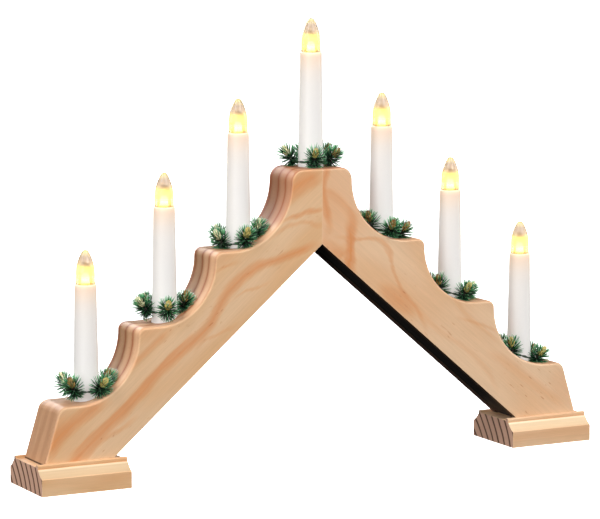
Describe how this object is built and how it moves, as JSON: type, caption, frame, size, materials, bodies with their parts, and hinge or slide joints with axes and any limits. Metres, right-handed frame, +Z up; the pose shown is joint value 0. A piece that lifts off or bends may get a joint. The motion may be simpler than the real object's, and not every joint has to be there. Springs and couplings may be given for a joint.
{
  "type": "candle arch",
  "caption": "Stepped pine candle arch on two moulded feet, with white electric candle tubes, screw-in flame bulbs and small pine wreaths.",
  "frame": {"origin": "bottom centre of the arch, on the surface it stands on, below the mitre", "axes": "+X along the arch to the right foot, +Y to the back, +Z up"},
  "size_m": [0.4, 0.051, 0.2881],
  "materials": {
    "pine": "planed pine with a clear matt varnish, warm orange growth bands",
    "beech": "plain turned dowel wood",
    "cover_plastic": "black extruded strip, matt",
    "grommet_rubber": "black moulded rubber",
    "zinc_steel": "zinc-plated screw",
    "wire_insulation": "white insulated wire",
    "brass": "drawn brass",
    "cap_brass": "rolled brass screw cap",
    "tube_plastic": "white satin moulded plastic",
    "lens_clear": "clear warm-tinted flame cover",
    "led_glow": "warm white lamp chip, lit",
    "wreath_wire": "dark green lacquered wire",
    "needle_green": "dark green plastic needles with golden buds"
  },
  "bodies": {
    "root": {"left_arm": "pine", "right_arm": "pine", "left_foot": "pine", "right_foot": "pine", "left_channel_cover": "cover_plastic", "right_channel_cover": "cover_plastic", "cord_grommet": "grommet_rubber", "apex_dowels": "beech", "foot_screws": "zinc_steel", "link_wires": "wire_insulation", "feed_wires": "wire_insulation", "socket_shells": "brass", "socket_contacts": "brass", "candle_tube_1": "tube_plastic", "candle_tube_2": "tube_plastic", "candle_tube_3": "tube_plastic", "candle_tube_4": "tube_plastic", "candle_tube_5": "tube_plastic", "candle_tube_6": "tube_plastic", "candle_tube_7": "tube_plastic"},
    "bulb_core_1": {"bulb_led_1": "led_glow"},
    "bulb_1": {"bulb_lens_1": "lens_clear", "bulb_cap_1": "cap_brass"},
    "wreath_1": {"wreath_ring_1": "wreath_wire", "wreath_sprigs_1": "needle_green"},
    "bulb_core_2": {"bulb_led_2": "led_glow"},
    "bulb_2": {"bulb_lens_2": "lens_clear", "bulb_cap_2": "cap_brass"},
    "wreath_2": {"wreath_ring_2": "wreath_wire", "wreath_sprigs_2": "needle_green"},
    "bulb_core_3": {"bulb_led_3": "led_glow"},
    "bulb_3": {"bulb_lens_3": "lens_clear", "bulb_cap_3": "cap_brass"},
    "wreath_3": {"wreath_ring_3": "wreath_wire", "wreath_sprigs_3": "needle_green"},
    "bulb_core_4": {"bulb_led_4": "led_glow"},
    "bulb_4": {"bulb_lens_4": "lens_clear", "bulb_cap_4": "cap_brass"},
    "wreath_4": {"wreath_ring_4": "wreath_wire", "wreath_sprigs_4": "needle_green"},
    "bulb_core_5": {"bulb_led_5": "led_glow"},
    "bulb_5": {"bulb_lens_5": "lens_clear", "bulb_cap_5": "cap_brass"},
    "wreath_5": {"wreath_ring_5": "wreath_wire", "wreath_sprigs_5": "needle_green"},
    "bulb_core_6": {"bulb_led_6": "led_glow"},
    "bulb_6": {"bulb_lens_6": "lens_clear", "bulb_cap_6": "cap_brass"},
    "wreath_6": {"wreath_ring_6": "wreath_wire", "wreath_sprigs_6": "needle_green"},
    "bulb_core_7": {"bulb_led_7": "led_glow"},
    "bulb_7": {"bulb_lens_7": "lens_clear", "bulb_cap_7": "cap_brass"},
    "wreath_7": {"wreath_ring_7": "wreath_wire", "wreath_sprigs_7": "needle_green"}
  },
  "joints": [
    {"name": "bulb_1_rise", "type": "slide", "parent": "root", "child": "bulb_core_1", "axis": [0, 0, 1], "range_m": [0, 0.0096]},
    {"name": "bulb_1_turn", "type": "hinge", "parent": "bulb_core_1", "child": "bulb_1", "pos_m": [-0.1587, 0, 0.1268], "axis": [0, 0, 1], "range_deg": [0, 1890]},
    {"name": "wreath_1_lift", "type": "slide", "parent": "root", "child": "wreath_1", "axis": [0, 0, 1], "range_m": [0, 0.096]},
    {"name": "bulb_2_rise", "type": "slide", "parent": "root", "child": "bulb_core_2", "axis": [0, 0, 1], "range_m": [0, 0.0096]},
    {"name": "bulb_2_turn", "type": "hinge", "parent": "bulb_core_2", "child": "bulb_2", "pos_m": [-0.1043, 0, 0.1725], "axis": [0, 0, 1], "range_deg": [0, 1890]},
    {"name": "wreath_2_lift", "type": "slide", "parent": "root", "child": "wreath_2", "axis": [0, 0, 1], "range_m": [0, 0.096]},
    {"name": "bulb_3_rise", "type": "slide", "parent": "root", "child": "bulb_core_3", "axis": [0, 0, 1], "range_m": [0, 0.0096]},
    {"name": "bulb_3_turn", "type": "hinge", "parent": "bulb_core_3", "child": "bulb_3", "pos_m": [-0.0522, 0, 0.217], "axis": [0, 0, 1], "range_deg": [0, 1890]},
    {"name": "wreath_3_lift", "type": "slide", "parent": "root", "child": "wreath_3", "axis": [0, 0, 1], "range_m": [0, 0.096]},
    {"name": "bulb_4_rise", "type": "slide", "parent": "root", "child": "bulb_core_4", "axis": [0, 0, 1], "range_m": [0, 0.0096]},
    {"name": "bulb_4_turn", "type": "hinge", "parent": "bulb_core_4", "child": "bulb_4", "pos_m": [0, 0, 0.2666], "axis": [0, 0, 1], "range_deg": [0, 1890]},
    {"name": "wreath_4_lift", "type": "slide", "parent": "root", "child": "wreath_4", "axis": [0, 0, 1], "range_m": [0, 0.096]},
    {"name": "bulb_5_rise", "type": "slide", "parent": "root", "child": "bulb_core_5", "axis": [0, 0, 1], "range_m": [0, 0.0096]},
    {"name": "bulb_5_turn", "type": "hinge", "parent": "bulb_core_5", "child": "bulb_5", "pos_m": [0.0522, 0, 0.217], "axis": [0, 0, 1], "range_deg": [0, 1890]},
    {"name": "wreath_5_lift", "type": "slide", "parent": "root", "child": "wreath_5", "axis": [0, 0, 1], "range_m": [0, 0.096]},
    {"name": "bulb_6_rise", "type": "slide", "parent": "root", "child": "bulb_core_6", "axis": [0, 0, 1], "range_m": [0, 0.0096]},
    {"name": "bulb_6_turn", "type": "hinge", "parent": "bulb_core_6", "child": "bulb_6", "pos_m": [0.1043, 0, 0.1725], "axis": [0, 0, 1], "range_deg": [0, 1890]},
    {"name": "wreath_6_lift", "type": "slide", "parent": "root", "child": "wreath_6", "axis": [0, 0, 1], "range_m": [0, 0.096]},
    {"name": "bulb_7_rise", "type": "slide", "parent": "root", "child": "bulb_core_7", "axis": [0, 0, 1], "range_m": [0, 0.0096]},
    {"name": "bulb_7_turn", "type": "hinge", "parent": "bulb_core_7", "child": "bulb_7", "pos_m": [0.1587, 0, 0.1268], "axis": [0, 0, 1], "range_deg": [0, 1890]},
    {"name": "wreath_7_lift", "type": "slide", "parent": "root", "child": "wreath_7", "axis": [0, 0, 1], "range_m": [0, 0.096]}
  ],
  "couplings": [
    {"joint": "bulb_1_rise", "follows": "bulb_1_turn", "m_per_rad": 0.00028807},
    {"joint": "bulb_2_rise", "follows": "bulb_2_turn", "m_per_rad": 0.00028807},
    {"joint": "bulb_3_rise", "follows": "bulb_3_turn", "m_per_rad": 0.00028807},
    {"joint": "bulb_4_rise", "follows": "bulb_4_turn", "m_per_rad": 0.00028807},
    {"joint": "bulb_5_rise", "follows": "bulb_5_turn", "m_per_rad": 0.00028807},
    {"joint": "bulb_6_rise", "follows": "bulb_6_turn", "m_per_rad": 0.00028807},
    {"joint": "bulb_7_rise", "follows": "bulb_7_turn", "m_per_rad": 0.00028807}
  ]
}
